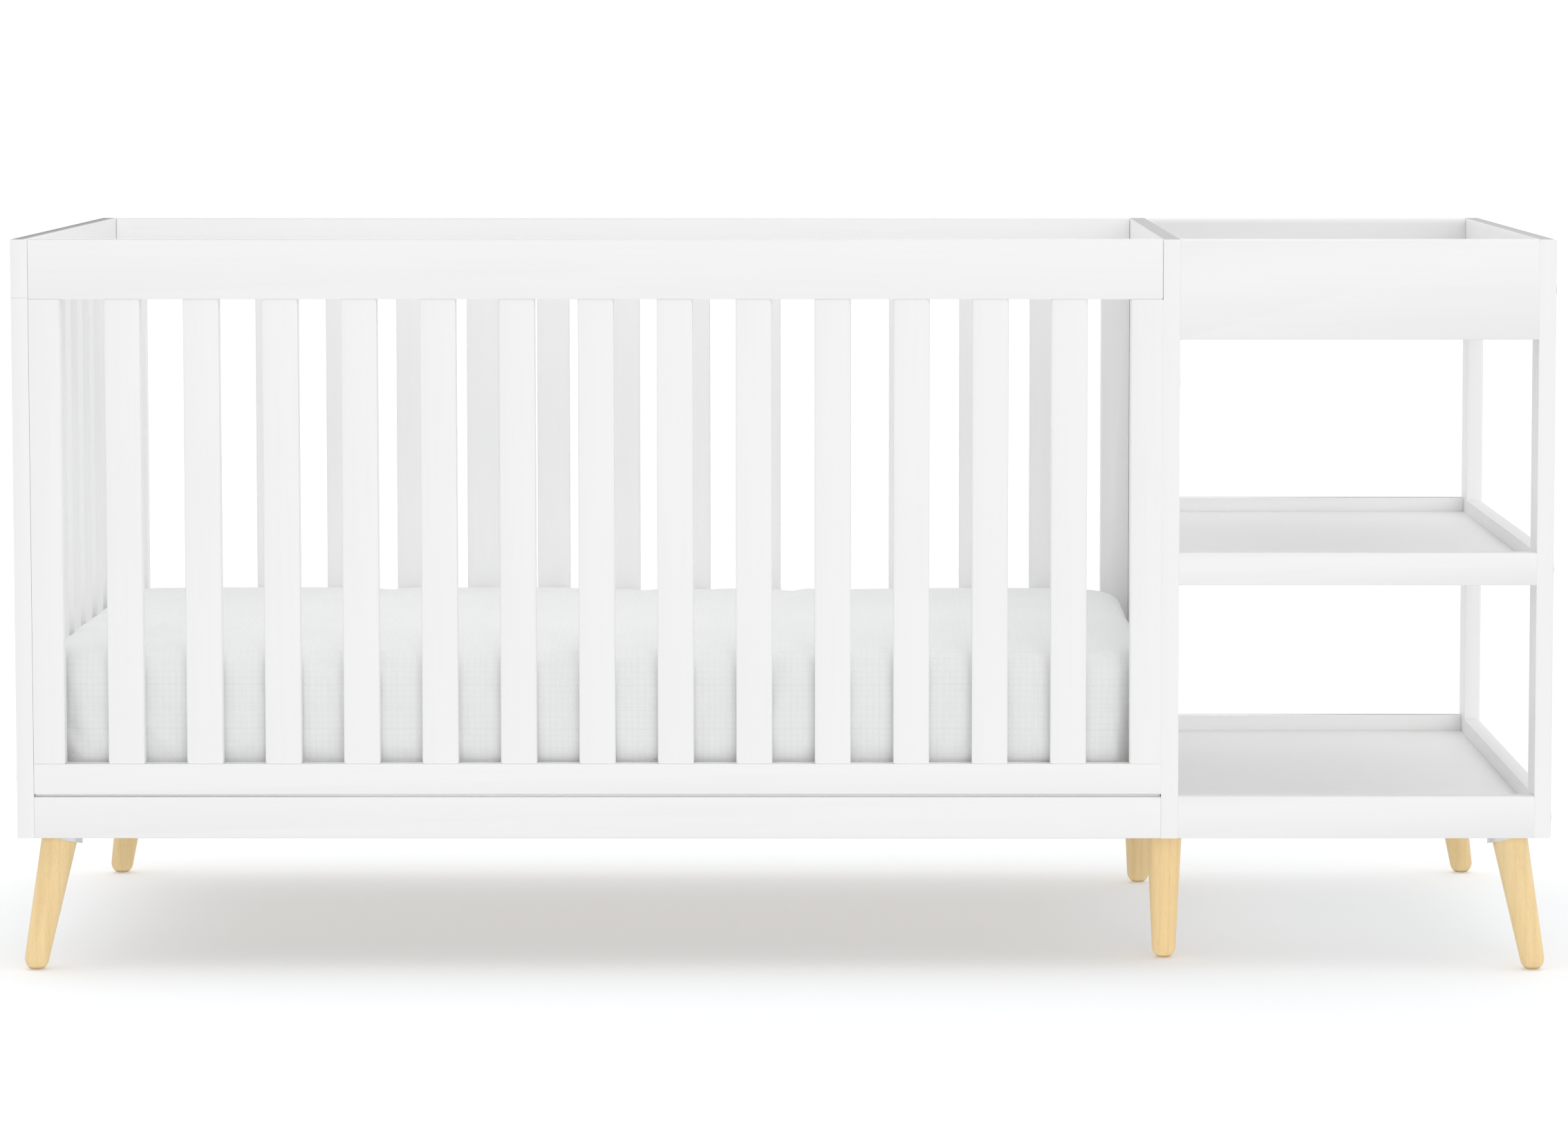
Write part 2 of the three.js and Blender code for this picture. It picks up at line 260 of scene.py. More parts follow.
def leg_wood(name, seed, tone=1.0):
    """Pale clear-lacquered wood with its grain up the leg. tone scales the whole colour: below 1 it is painted shade,
    above 1 painted light.
    """
    m, nt, bsdf = material(name)
    tc = nt.nodes.new("ShaderNodeTexCoord")
    pos = mapped(nt, tc.outputs["Object"], (1, 1, 1), location=(seed * 1.37, seed * 0.61, seed * 0.23))
    wide = noise_node(nt, mapped(nt, pos, (34.0, 34.0, 3.2)), 1.0, 3.0, 0.55, 0.6)
    bands = nt.nodes.new("ShaderNodeTexWave")
    bands.wave_type = "BANDS"
    bands.bands_direction = "X"
    bands.inputs["Scale"].default_value = 27.0
    bands.inputs["Distortion"].default_value = 8.0
    bands.inputs["Detail"].default_value = 3.0
    bands.inputs["Detail Scale"].default_value = 0.7
    link(nt, mapped(nt, pos, (1.0, 0.35, 0.09)), bands.inputs["Vector"])
    fine = noise_node(nt, mapped(nt, pos, (900.0, 900.0, 14.0)), 1.0, 2.0, 0.6)
    pores = noise_node(nt, mapped(nt, pos, (1500.0, 1500.0, 60.0)), 1.0, 1.0, 0.5)
    base = ramp(nt, wide, [(0.25, (0.900, 0.655, 0.325)), (0.5, (0.950, 0.715, 0.370)), (0.78, (0.972, 0.775, 0.430))])
    ring = ramp(nt, bands.outputs["Fac"], [(0.0, (0.965, 0.950, 0.925)), (0.40, (0.993, 0.99, 0.985)), (1.0, (1.0, 1.0, 1.0))])
    colour = mix_colour(nt, 1.0, base, ring, "MULTIPLY")
    streak = ramp(nt, fine, [(0.30, (0.93, 0.905, 0.87)), (0.52, (1.0, 1.0, 1.0))])
    colour = mix_colour(nt, 0.8, colour, streak, "MULTIPLY")
    dots = ramp(nt, pores, [(0.27, (0.80, 0.74, 0.66)), (0.33, (1.0, 1.0, 1.0))])
    colour = mix_colour(nt, 0.6, colour, dots, "MULTIPLY")
    # The lowest 5 mm of each leg is darkened as painted shade of its rounded end, and a pale felt pad covers the very
    # end.
    sep = nt.nodes.new("ShaderNodeSeparateXYZ")
    link(nt, tc.outputs["Object"], sep.inputs[0])
    tip_shade = ramp(nt, math_node(nt, "MULTIPLY", sep.outputs[2], 100.0), [(0.20, (0.60, 0.48, 0.34)), (0.50, (1.0, 1.0, 1.0))])
    colour = mix_colour(nt, 1.0, colour, tip_shade, "MULTIPLY")
    # tone scales the whole leg's colour: painted shade where it is below 1, painted light where it is above 1.
    if tone != 1.0:
        colour = mix_colour(nt, 1.0, colour, (tone, tone * 0.985, tone * 0.96), "MULTIPLY")
    colour = mix_colour(nt, math_node(nt, "LESS_THAN", sep.outputs[2], 0.0010), colour, (0.78, 0.76, 0.72))
    link(nt, colour, bsdf.inputs["Base Color"])
    rough = nt.nodes.new("ShaderNodeMapRange")
    rough.inputs["To Min"].default_value = 0.42
    rough.inputs["To Max"].default_value = 0.56
    link(nt, fine, rough.inputs["Value"])
    link(nt, rough.outputs[0], bsdf.inputs["Roughness"])
    bump_chain(nt, bsdf, [(bands.outputs["Fac"], 0.0002, 0.2), (fine, 0.00015, 0.3)])
    return m


def steel(name, low, high, metallic, rough_low, rough_high, fine):
    """Zinc plate or moulded plastic, with a fine speckle."""
    m, nt, bsdf = material(name)
    tc = nt.nodes.new("ShaderNodeTexCoord")
    speck = noise_node(nt, tc.outputs["Object"], fine, 3.0, 0.6)
    cloud = noise_node(nt, tc.outputs["Object"], 60.0, 2.0, 0.5)
    link(nt, ramp(nt, cloud, [(0.3, low), (0.7, high)]), bsdf.inputs["Base Color"])
    bsdf.inputs["Metallic"].default_value = metallic
    rough = nt.nodes.new("ShaderNodeMapRange")
    rough.inputs["To Min"].default_value = rough_low
    rough.inputs["To Max"].default_value = rough_high
    link(nt, speck, rough.inputs["Value"])
    link(nt, rough.outputs[0], bsdf.inputs["Roughness"])
    bump_chain(nt, bsdf, [(speck, 0.00008, 0.35)])
    return m


ZINC = steel("leg_plate_zinc", (0.66, 0.67, 0.68), (0.76, 0.77, 0.78), 0.55, 0.35, 0.55, 700.0)
CAP = steel("bolt_cap_plastic", (0.84, 0.84, 0.835), (0.87, 0.87, 0.865), 0.0, 0.30, 0.42, 900.0)


def pine(name):
    """Planed pine: the long rails run along X, the cross slats and end boards along Y, each board with a tone of its own."""
    m, nt, bsdf = material(name)
    tc = nt.nodes.new("ShaderNodeTexCoord")
    sep = nt.nodes.new("ShaderNodeSeparateXYZ")
    link(nt, tc.outputs["Object"], sep.inputs[0])
    turn = nt.nodes.new("ShaderNodeCombineXYZ")
    link(nt, sep.outputs[1], turn.inputs[0])
    link(nt, sep.outputs[0], turn.inputs[1])
    link(nt, sep.outputs[2], turn.inputs[2])
    rail = math_node(nt, "GREATER_THAN", math_node(nt, "ABSOLUTE", sep.outputs[1]), 0.3264)
    along = nt.nodes.new("ShaderNodeMix")
    along.data_type = "VECTOR"
    link(nt, rail, along.inputs[0])
    link(nt, turn.outputs[0], along.inputs[4])
    link(nt, tc.outputs["Object"], along.inputs[5])
    pos = along.outputs[1]
    board = math_node(nt, "FLOOR", math_node(nt, "MULTIPLY", math_node(nt, "ADD", sep.outputs[0], 0.8301), 9.08))
    tone = nt.nodes.new("ShaderNodeTexWhiteNoise")
    tone.noise_dimensions = "1D"
    link(nt, board, tone.inputs["W"])
    shift = nt.nodes.new("ShaderNodeCombineXYZ")
    link(nt, math_node(nt, "MULTIPLY", board, 0.731), shift.inputs[0])
    moved = nt.nodes.new("ShaderNodeVectorMath")
    moved.operation = "ADD"
    link(nt, pos, moved.inputs[0])
    link(nt, shift.outputs[0], moved.inputs[1])
    pos = moved.outputs[0]
    rings = nt.nodes.new("ShaderNodeTexWave")
    rings.wave_type = "BANDS"
    rings.bands_direction = "Y"
    rings.inputs["Scale"].default_value = 30.0
    rings.inputs["Distortion"].default_value = 7.0
    rings.inputs["Detail"].default_value = 2.0
    rings.inputs["Detail Scale"].default_value = 0.6
    link(nt, mapped(nt, pos, (0.07, 1.0, 1.0)), rings.inputs["Vector"])
    fine = noise_node(nt, mapped(nt, pos, (12.0, 700.0, 700.0)), 1.0, 2.0, 0.6)
    base = ramp(nt, tone.outputs["Value"], [(0.0, (0.790, 0.742, 0.672)), (0.5, (0.822, 0.778, 0.712)), (1.0, (0.848, 0.808, 0.748))])
    late = ramp(nt, rings.outputs["Fac"], [(0.0, (0.88, 0.83, 0.77)), (0.30, (0.965, 0.955, 0.935)), (1.0, (1.0, 1.0, 1.0))])
    colour = mix_colour(nt, 1.0, base, late, "MULTIPLY")
    colour = mix_colour(nt, 0.7, colour, ramp(nt, fine, [(0.32, (0.88, 0.84, 0.78)), (0.55, (1.0, 1.0, 1.0))]), "MULTIPLY")
    knots = nt.nodes.new("ShaderNodeTexVoronoi")
    knots.inputs["Scale"].default_value = 4.2
    link(nt, mapped(nt, pos, (0.55, 1.0, 1.0)), knots.inputs["Vector"])
    colour = mix_colour(nt, 1.0, colour, ramp(nt, knots.outputs["Distance"], [(0.0, (0.42, 0.27, 0.15)), (0.035, (0.55, 0.38, 0.22)), (0.06, (1.0, 1.0, 1.0))]), "MULTIPLY")
    link(nt, colour, bsdf.inputs["Base Color"])
    rough = nt.nodes.new("ShaderNodeMapRange")
    rough.inputs["To Min"].default_value = 0.55
    rough.inputs["To Max"].default_value = 0.72
    link(nt, fine, rough.inputs["Value"])
    link(nt, rough.outputs[0], bsdf.inputs["Roughness"])
    bump_chain(nt, bsdf, [(rings.outputs["Fac"], 0.0002, 0.25), (fine, 0.0002, 0.3)])
    return m


PINE = pine("support_pine")


def cotton(name):
    """White cotton with a small waffle check. The check follows the cloth's own plan, so it bends with the cloth and breaks at the corner seams."""
    m, nt, bsdf = material(name)
    uv = nt.nodes.new("ShaderNodeUVMap")
    uv.uv_map = "cloth_plan"
    sep = nt.nodes.new("ShaderNodeSeparateXYZ")
    link(nt, uv.outputs[0], sep.inputs[0])
    tc = nt.nodes.new("ShaderNodeTexCoord")

    def lines(pitch, width):
        both = None
        for i in (0, 1):
            t = math_node(nt, "PINGPONG", sep.outputs[i], pitch / 2)
            near = nt.nodes.new("ShaderNodeMapRange")
            near.interpolation_type = "SMOOTHSTEP"
            near.inputs["From Min"].default_value = 0.0
            near.inputs["From Max"].default_value = width
            near.inputs["To Min"].default_value = 1.0
            near.inputs["To Max"].default_value = 0.0
            link(nt, t, near.inputs["Value"])
            both = near.outputs[0] if both is None else math_node(nt, "MAXIMUM", both, near.outputs[0])
        return both

    small = lines(0.0075, 0.0016)
    wide = lines(0.026, 0.0016)
    thread = noise_node(nt, mapped(nt, uv.outputs[0], (1400.0, 1400.0, 1.0)), 1.0, 1.0, 0.5)
    slub = noise_node(nt, mapped(nt, uv.outputs[0], (900.0, 40.0, 1.0)), 1.0, 2.0, 0.5)
    cloud = noise_node(nt, tc.outputs["Object"], 7.0, 3.0, 0.5)
    base = ramp(nt, cloud, [(0.3, (0.893, 0.896, 0.899)), (0.7, (0.912, 0.915, 0.917))])
    geo = nt.nodes.new("ShaderNodeNewGeometry")
    face = nt.nodes.new("ShaderNodeSeparateXYZ")
    link(nt, geo.outputs["Normal"], face.inputs[0])
    flat = math_node(nt, "MULTIPLY", math_node(nt, "MAXIMUM", face.outputs[2], 0.0), 0.7)
    show = math_node(nt, "SUBTRACT", 1.0, flat)
    colour = mix_colour(nt, math_node(nt, "MULTIPLY", math_node(nt, "MULTIPLY", small, 0.34), show), base, (0.835, 0.846, 0.850))
    colour = mix_colour(nt, math_node(nt, "MULTIPLY", math_node(nt, "MULTIPLY", wide, 0.17), show), colour, (0.765, 0.780, 0.788))
    colour = mix_colour(nt, 0.35, colour, ramp(nt, slub, [(0.35, (0.94, 0.94, 0.94)), (0.6, (1.0, 1.0, 1.0))]), "MULTIPLY")
    link(nt, colour, bsdf.inputs["Base Color"])
    bsdf.inputs["Roughness"].default_value = 0.92
    bsdf.inputs["Specular IOR Level"].default_value = 0.25
    bsdf.inputs["Sheen Weight"].default_value = 0.12
    bsdf.inputs["Sheen Roughness"].default_value = 0.5
    raised = math_node(nt, "SUBTRACT", 1.0, small)
    bump_chain(nt, bsdf, [(raised, 0.0004, 0.35), (thread, 0.0002, 0.4)])
    return m


def ticking(name):
    """The mattress's own cover under the sheet: white knitted ticking with a small quilted diamond."""
    m, nt, bsdf = material(name)
    tc = nt.nodes.new("ShaderNodeTexCoord")
    sep = nt.nodes.new("ShaderNodeSeparateXYZ")
    link(nt, tc.outputs["Object"], sep.inputs[0])
    one = math_node(nt, "PINGPONG", math_node(nt, "ADD", sep.outputs[0], sep.outputs[1]), 0.03)
    two = math_node(nt, "PINGPONG", math_node(nt, "SUBTRACT", sep.outputs[0], sep.outputs[1]), 0.03)
    quilt = math_node(nt, "MINIMUM", one, two)
    deep = ramp(nt, math_node(nt, "MULTIPLY", quilt, 90.0), [(0.0, (0, 0, 0)), (1.0, (1, 1, 1))])
    knit = noise_node(nt, tc.outputs["Object"], 900.0, 2.0, 0.6)
    colour = mix_colour(nt, 1.0, ramp(nt, knit, [(0.3, (0.78, 0.78, 0.77)), (0.7, (0.84, 0.84, 0.83))]), ramp(nt, deep, [(0.0, (0.90, 0.90, 0.90)), (0.4, (1.0, 1.0, 1.0))]), "MULTIPLY")
    link(nt, colour, bsdf.inputs["Base Color"])
    bsdf.inputs["Roughness"].default_value = 0.85
    bump_chain(nt, bsdf, [(deep, 0.002, 0.5), (knit, 0.0002, 0.4)])
    return m


COTTON = cotton("sheet_cotton")
TICKING = ticking("mattress_ticking")


# ------------------------------------------------------------------ carried-over CAD nodes
def smooth_group():
    """Shades smooth, but keeps edges sharper than the given angle."""
    g = D.node_groups.new("smooth_by_angle", "GeometryNodeTree")
    g.interface.new_socket("Geometry", in_out="INPUT", socket_type="NodeSocketGeometry")
    g.interface.new_socket("Geometry", in_out="OUTPUT", socket_type="NodeSocketGeometry")
    a = g.nodes.new("NodeGroupInput")
    b = g.nodes.new("NodeGroupOutput")
    face = g.nodes.new("GeometryNodeSetShadeSmooth")
    face.domain = "FACE"
    edge = g.nodes.new("GeometryNodeSetShadeSmooth")
    edge.domain = "EDGE"
    angle = g.nodes.new("GeometryNodeInputMeshEdgeAngle")
    cmp_ = g.nodes.new("FunctionNodeCompare")
    cmp_.data_type = "FLOAT"
    cmp_.operation = "LESS_EQUAL"
    cmp_.inputs[1].default_value = math.radians(32)
    g.links.new(a.outputs[0], face.inputs["Geometry"])
    g.links.new(face.outputs[0], edge.inputs["Geometry"])
    g.links.new(angle.outputs["Unsigned Angle"], cmp_.inputs[0])
    g.links.new(cmp_.outputs[0], edge.inputs["Shade Smooth"])
    g.links.new(edge.outputs[0], b.inputs[0])
    return g


SMOOTH = smooth_group()


def weight_group(name, rules):
    """Bevel weights for a node's sharp edges. A rule is (direction, axis, sign, beyond, weight): edges along the direction whose middle lies further than beyond, sign times the axis; axis None takes them all. The greatest weight wins."""
    g = D.node_groups.new(name, "GeometryNodeTree")
    g.interface.new_socket("Geometry", in_out="INPUT", socket_type="NodeSocketGeometry")
    g.interface.new_socket("Geometry", in_out="OUTPUT", socket_type="NodeSocketGeometry")
    a = g.nodes.new("NodeGroupInput")
    b = g.nodes.new("NodeGroupOutput")
    ends = g.nodes.new("GeometryNodeInputMeshEdgeVertices")

    def vec(op, *args):
        n = g.nodes.new("ShaderNodeVectorMath")
        n.operation = op
        for i, v in enumerate(args):
            if isinstance(v, tuple):
                n.inputs[i].default_value = v
            elif isinstance(v, float):
                n.inputs["Scale"].default_value = v
            else:
                g.links.new(v, n.inputs[i])
        return n.outputs[0]

    def num(op, *args):
        n = g.nodes.new("ShaderNodeMath")
        n.operation = op
        for i, v in enumerate(args):
            if isinstance(v, (int, float)):
                n.inputs[i].default_value = v
            else:
                g.links.new(v, n.inputs[i])
        return n.outputs[0]

    run = vec("ABSOLUTE", vec("NORMALIZE", vec("SUBTRACT", ends.outputs["Position 1"], ends.outputs["Position 2"])))
    mid = vec("SCALE", vec("ADD", ends.outputs["Position 1"], ends.outputs["Position 2"]), 0.5)
    way, at = g.nodes.new("ShaderNodeSeparateXYZ"), g.nodes.new("ShaderNodeSeparateXYZ")
    g.links.new(run, way.inputs[0])
    g.links.new(mid, at.inputs[0])
    best = None
    for direction, axis, sign, beyond, weight in rules:
        w = num("MULTIPLY", num("GREATER_THAN", way.outputs["XYZ".index(direction)], 0.97), weight)
        if axis is not None:
            side = at.outputs["XYZ".index(axis.upper())]
            if sign == 0:
                side = num("ABSOLUTE", side)
                sign = 1.0
            w = num("MULTIPLY", w, num("GREATER_THAN", num("MULTIPLY", side, float(sign)), beyond))
        best = w if best is None else num("MAXIMUM", best, w)
    angle = g.nodes.new("GeometryNodeInputMeshEdgeAngle")
    sharp = num("GREATER_THAN", angle.outputs["Unsigned Angle"], math.radians(50))
    store = g.nodes.new("GeometryNodeStoreNamedAttribute")
    store.data_type = "FLOAT"
    store.domain = "EDGE"
    store.inputs["Name"].default_value = "bevel_weight_edge"
    g.links.new(a.outputs[0], store.inputs["Geometry"])
    g.links.new(num("MULTIPLY", best, sharp), store.inputs["Value"])
    g.links.new(store.outputs[0], b.inputs[0])
    return g


GROUPS = {}


def dress(name, mat, width=None, rules=(), segments=3):
    """Gives a node its material, and rounds its edges by the rules."""
    o = NODES[name]
    o.data.materials.clear()
    o.data.materials.append(mat)
    w = o.modifiers.new("weld", "WELD")
    w.merge_threshold = 1e-5
    if width:
        key = tuple(rules)
        if key not in GROUPS:
            GROUPS[key] = weight_group(f"edges_{len(GROUPS) + 1}", rules)
        n = o.modifiers.new("edges", "NODES")
        n.node_group = GROUPS[key]
        b = o.modifiers.new("bevel", "BEVEL")
        b.width = width
        b.segments = segments
        b.limit_method = "WEIGHT"
        b.harden_normals = False
    s = o.modifiers.new("smooth", "NODES")
    s.node_group = SMOOTH
    return o


ALL_X = (("X", None, 0, 0.0, 1.0),)
ALL_Y = (("Y", None, 0, 0.0, 1.0),)
ALL_Z = (("Z", None, 0, 0.0, 1.0),)
for side in ("front", "back"):
    # The top rail is well rounded above and nearly sharp below, where the slats meet it flush.
    dress(f"{side}_top_rail", PAINT_X, 0.0026, (("X", "z", 1, 0.86, 1.0), ("Z", "x", 1, 0.43, 0.62), ("Y", "x", 1, 0.43, 0.62), ("X", None, 0, 0.0, 0.07)))
    dress(f"{side}_bottom_rail", PAINT_X, 0.0016, (("X", "z", -1, -0.22, 1.0), ("X", None, 0, 0.0, 0.25)))
    dress(f"{side}_left_stile", PAINT_Z, 0.0018, (("Z", "x", 1, -0.86, 1.0), ("Z", None, 0, 0.0, 0.08)))
    dress(f"{side}_right_stile", PAINT_Z, 0.0018, (("Z", "x", -1, -0.42, 1.0), ("Z", None, 0, 0.0, 0.03)))
    dress(f"{side}_skirt", PAINT_X, 0.0018, ALL_X)
    dress(f"changer_{side}_apron", PAINT_APRON, 0.0024, (("X", "z", 1, 0.86, 1.0), ("X", None, 0, 0.0, 0.6)))
    # The back shelf rails take the whiter copy as painted light; the front ones keep the plain paint.
    dress(f"middle_shelf_{side}_rail", PAINT_X if side == "front" else SHELF_RAIL_LIT, 0.0010, ALL_X)
    dress(f"bottom_shelf_{side}_rail", PAINT_X if side == "front" else SHELF_RAIL_LIT, 0.0010, ALL_X)
    for i in range(1, 14):
        dress(f"{side}_slat_{i:02d}", PAINT_Z, 0.0026, ALL_Z)
# The end panels' outer edges are rounded by 3 mm, the edges that meet the panels by under 1 mm.
OUTER = lambda axis_sign, x: (("Z", "x", axis_sign, x, 1.0), ("Y", "x", axis_sign, x, 1.0), ("Z", None, 0, 0.0, 0.14), ("Y", None, 0, 0.0, 0.22))
dress("left_end_panel", PAINT_LEFT, 0.003, OUTER(-1, 0.9))
dress("middle_end_panel", PAINT_MIDDLE, 0.0012, (("Z", "y", 1, -0.36, 0.8), ("Z", None, 0, 0.0, 0.10), ("Y", None, 0, 0.0, 1.0)))
dress("changer_end_frame", PAINT_FRAME, 0.003, (("Z", "x", 1, 0.9, 1.0), ("Y", "x", 1, 0.9, 1.0), ("Z", None, 0, 0.0, 0.04), ("Y", None, 0, 0.0, 0.22)))
dress("changer_tray_floor", PAINT_Y, 0.0010, ALL_X)
dress("middle_shelf", SHELF, 0.0010, ALL_X)
dress("bottom_shelf", SHELF, 0.0010, ALL_X)
for n in ("left_leg_bearer", "right_leg_bearer", "centre_leg_bearer"):
    dress(n, PAINT_Y, 0.0015, ALL_Y)
LEGS = ("front_left_leg", "front_right_leg", "back_left_leg", "back_right_leg", "front_middle_leg", "back_middle_leg")
# Per-leg tones: the back legs are darkened to 0.87-0.89 as painted shade, and the front middle leg is lightened to 1.06
# as painted light.
for k, n in enumerate(LEGS):
    dress(n, leg_wood(f"leg_wood_{k + 1}", k + 1, {"front_middle_leg": 1.06, "back_middle_leg": 0.87, "back_left_leg": 0.89, "back_right_leg": 0.87}.get(n, 1.0)))
dress("mattress_support", PINE, 0.0014, ALL_X + ALL_Y)
dress("mattress_core", TICKING)
dress("fitted_sheet", TICKING)


# ------------------------------------------------------------------ helpers for new pieces
def add_piece(name, mesh, mat, body=ROOT):
    o = D.objects.new(name, mesh)
    SCENE.collection.objects.link(o)
    mesh.materials.clear()
    mesh.materials.append(mat)
    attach(o, body)
    return o


def from_bmesh(name, bm, smooth_angle=None):
    bmesh.ops.recalc_face_normals(bm, faces=bm.faces)
    me = D.meshes.new(name)
    bm.to_mesh(me)
    bm.free()
    for p in me.polygons:
        p.use_smooth = True
    return me


# ------------------------------------------------------------------ leg plates
def leg_plate(name, centre, axis, half, thin):
    """A zinc plate between a leg and its bearer: flat above, and square to the leg below, so on a splayed leg it is a wedge."""
    cx, cy, top = centre
    ax = Vector(axis).normalized()
    bm = bmesh.new()
    r, n = 0.006, 5
    outline = []
    for qx, qy, start in ((1, 1, 0), (-1, 1, 90), (-1, -1, 180), (1, -1, 270)):
        for k in range(n + 1):
            t = math.radians(start + 90 * k / n)
            outline.append((cx + qx * (half - r) + r * math.cos(t), cy + qy * (half - r) + r * math.sin(t)))
    fall = [-(ax.x * (x - cx) + ax.y * (y - cy)) / ax.z for x, y in outline]  # the plane square to the leg
    high = max(fall)
    up = [bm.verts.new((x, y, top)) for x, y in outline]
    down = [bm.verts.new((x, y, top - thin - (high - f))) for (x, y), f in zip(outline, fall)]
    bm.faces.new(up)
    bm.faces.new(list(reversed(down)))
    k = len(up)
    for i in range(k):
        bm.faces.new((up[i], up[(i + 1) % k], down[(i + 1) % k], down[i]))
    rim = [e for e in bm.edges if e.verts[0] in down and e.verts[1] in down]
    bmesh.ops.bevel(bm, geom=rim, offset=0.0008, segments=2, affect="EDGES", profile=0.5)
    me = from_bmesh(name, bm)
    o = add_piece(name, me, ZINC)
    s = o.modifiers.new("smooth", "NODES")
    s.node_group = SMOOTH
    return o


for n in LEGS:
    sx = {"left": -1, "right": 1, "middle": 0}[n.split("_")[1]]
    sy = -1 if n.startswith("front") else 1
    if sx:
        top, foot = Vector((sx * 0.8617, sy * 0.3312, 0.1598)), Vector((sx * 0.890, sy * 0.3595, 0.0))
        leg_plate(f"{n}_plate", (sx * 0.8612, sy * 0.3300, 0.1597), foot - top, 0.0228, 0.0012)
    else:
        leg_plate(f"{n}_plate", (0.455, sy * 0.2775, 0.1597), (0, 0, -1), 0.029, 0.0025)


# ------------------------------------------------------------------ spacer strips between skirt and panel
def spacer(side, sy):
    """A thin strip, set back, that the long panel stands on."""
    bm = bmesh.new()
    bmesh.ops.create_cube(bm, size=1.0)
    y0, y1, z0, z1 = sy * 0.3697, sy * 0.3562, 0.20885, 0.21195
    for v in bm.verts:
        v.co = Vector(((0.4446 - 0.8856) / 2 + v.co.x * 1.3290, (y0 + y1) / 2 + v.co.y * abs(y1 - y0), (z0 + z1) / 2 + v.co.z * (z1 - z0)))
    rim = [e for e in bm.edges if abs(e.verts[0].co.x - e.verts[1].co.x) > 0.1]
    bmesh.ops.bevel(bm, geom=rim, offset=0.0005, segments=2, affect="EDGES", profile=0.5)
    o = add_piece(f"{side}_spacer_strip", from_bmesh(f"{side}_spacer_strip", bm), PAINT_X)
    s = o.modifiers.new("smooth", "NODES")
    s.node_group = SMOOTH
    return o


spacer("front", -1)
spacer("back", 1)


# ------------------------------------------------------------------ paint that bridges the changer's joints
def joint_strips(side, sy):
    """The coat of paint that closes the joints beside the middle panel and the end frame: thin strips, level with the boards' faces. The joint beside the crib's top rail stays open."""
    bm = bmesh.new()
    places = [(0.44462, 0.44498, 0.2123, 0.7965)]
    for low, high in ((0.1600, 0.2091), (0.4604, 0.4981), (0.7500, 0.8645)):
        places += [(0.46503, 0.46517, low, high), (0.88583, 0.88597, low, high)]
    for x0, x1, z0, z1 in places:
        made = bmesh.ops.create_cube(bm, size=1.0)["verts"]
        for v in made:
            v.co = Vector(((x0 + x1) / 2 + v.co.x * (x1 - x0), sy * (0.37545 + 0.3580) / 2 + v.co.y * (0.37545 - 0.3580), (z0 + z1) / 2 + v.co.z * (z1 - z0)))
    return add_piece(f"{side}_joint_paint", from_bmesh(f"{side}_joint_paint", bm), PAINT_Z)


for piece in (joint_strips("front", -1), joint_strips("back", 1)):
    for p in piece.data.polygons:
        p.use_smooth = False


# ------------------------------------------------------------------ caps over the bolts in the end panels
def bolt_caps(name, places, outward):
    """Thin pressed-in caps, 15 mm across, with a shallow dish and a rounded rim, in one piece. outward is +1 or -1 along X."""
    bm = bmesh.new()
    rings = [(0.0075, 0.0), (0.0075, 0.0003), (0.0072, 0.0006), (0.0066, 0.0007), (0.0058, 0.0006), (0.0046, 0.00045), (0.0030, 0.0004), (0.0012, 0.0004)]
    n = 32
    for x, y, z in places:
        loops = []
        for r, h in rings:
            loops.append([bm.verts.new((x + outward * h, y + r * math.cos(2 * math.pi * i / n), z + r * math.sin(2 * math.pi * i / n))) for i in range(n)])
        for a, b in zip(loops, loops[1:]):
            for i in range(n):
                bm.faces.new((a[i], a[(i + 1) % n], b[(i + 1) % n], b[i]))
        bm.faces.new(loops[-1])
        bm.faces.new(list(reversed(loops[0])))
    me = from_bmesh(name, bm)
    o = add_piece(name, me, CAP)
    s = o.modifiers.new("smooth", "NODES")
    s.node_group = SMOOTH
    return o


bolt_caps("left_end_caps", [(-0.90602, sy * 0.3655, z) for sy in (-1, 1) for z in (0.232, 0.832)], -1)
bolt_caps("middle_panel_caps", [(0.46502, sy * 0.3655, z) for sy in (-1, 1) for z in (0.232, 0.700)], 1)
bolt_caps("changer_end_caps", [(0.90602, sy * 0.3655, z) for sy in (-1, 1) for z in (0.1845, 0.479, 0.808)], 1)


# ------------------------------------------------------------------ mattress and fitted sheet
MX0, MX1, MY, MZ0, MZ1 = -0.8808, 0.4302, 0.3488, 0.2386, 0.3806
MCX = (MX0 + MX1) / 2


def rounded_slab():
    bm = bmesh.new()
    bmesh.ops.create_cube(bm, size=1.0)
    for v in bm.verts:
        v.co = Vector((MCX + v.co.x * (MX1 - MX0), v.co.y * 2 * MY, (MZ0 + MZ1) / 2 + v.co.z * (MZ1 - MZ0)))
    upright = [e for e in bm.edges if abs(e.verts[0].co.z - e.verts[1].co.z) > 0.01]
    bmesh.ops.bevel(bm, geom=upright, offset=0.062, segments=10, affect="EDGES", profile=0.5)
    upper = [e for e in bm.edges if min(v.co.z for v in e.verts) > MZ1 - 1e-4]
    bmesh.ops.bevel(bm, geom=upper, offset=0.019, segments=5, affect="EDGES", profile=0.5)
    lower = [e for e in bm.edges if max(v.co.z for v in e.verts) < MZ0 + 1e-4]
    bmesh.ops.bevel(bm, geom=lower, offset=0.007, segments=3, affect="EDGES", profile=0.5)
    return from_bmesh("slab", bm)


def evaluated(o):
    dg = bpy.context.evaluated_depsgraph_get()
    return D.meshes.new_from_object(o.evaluated_get(dg))


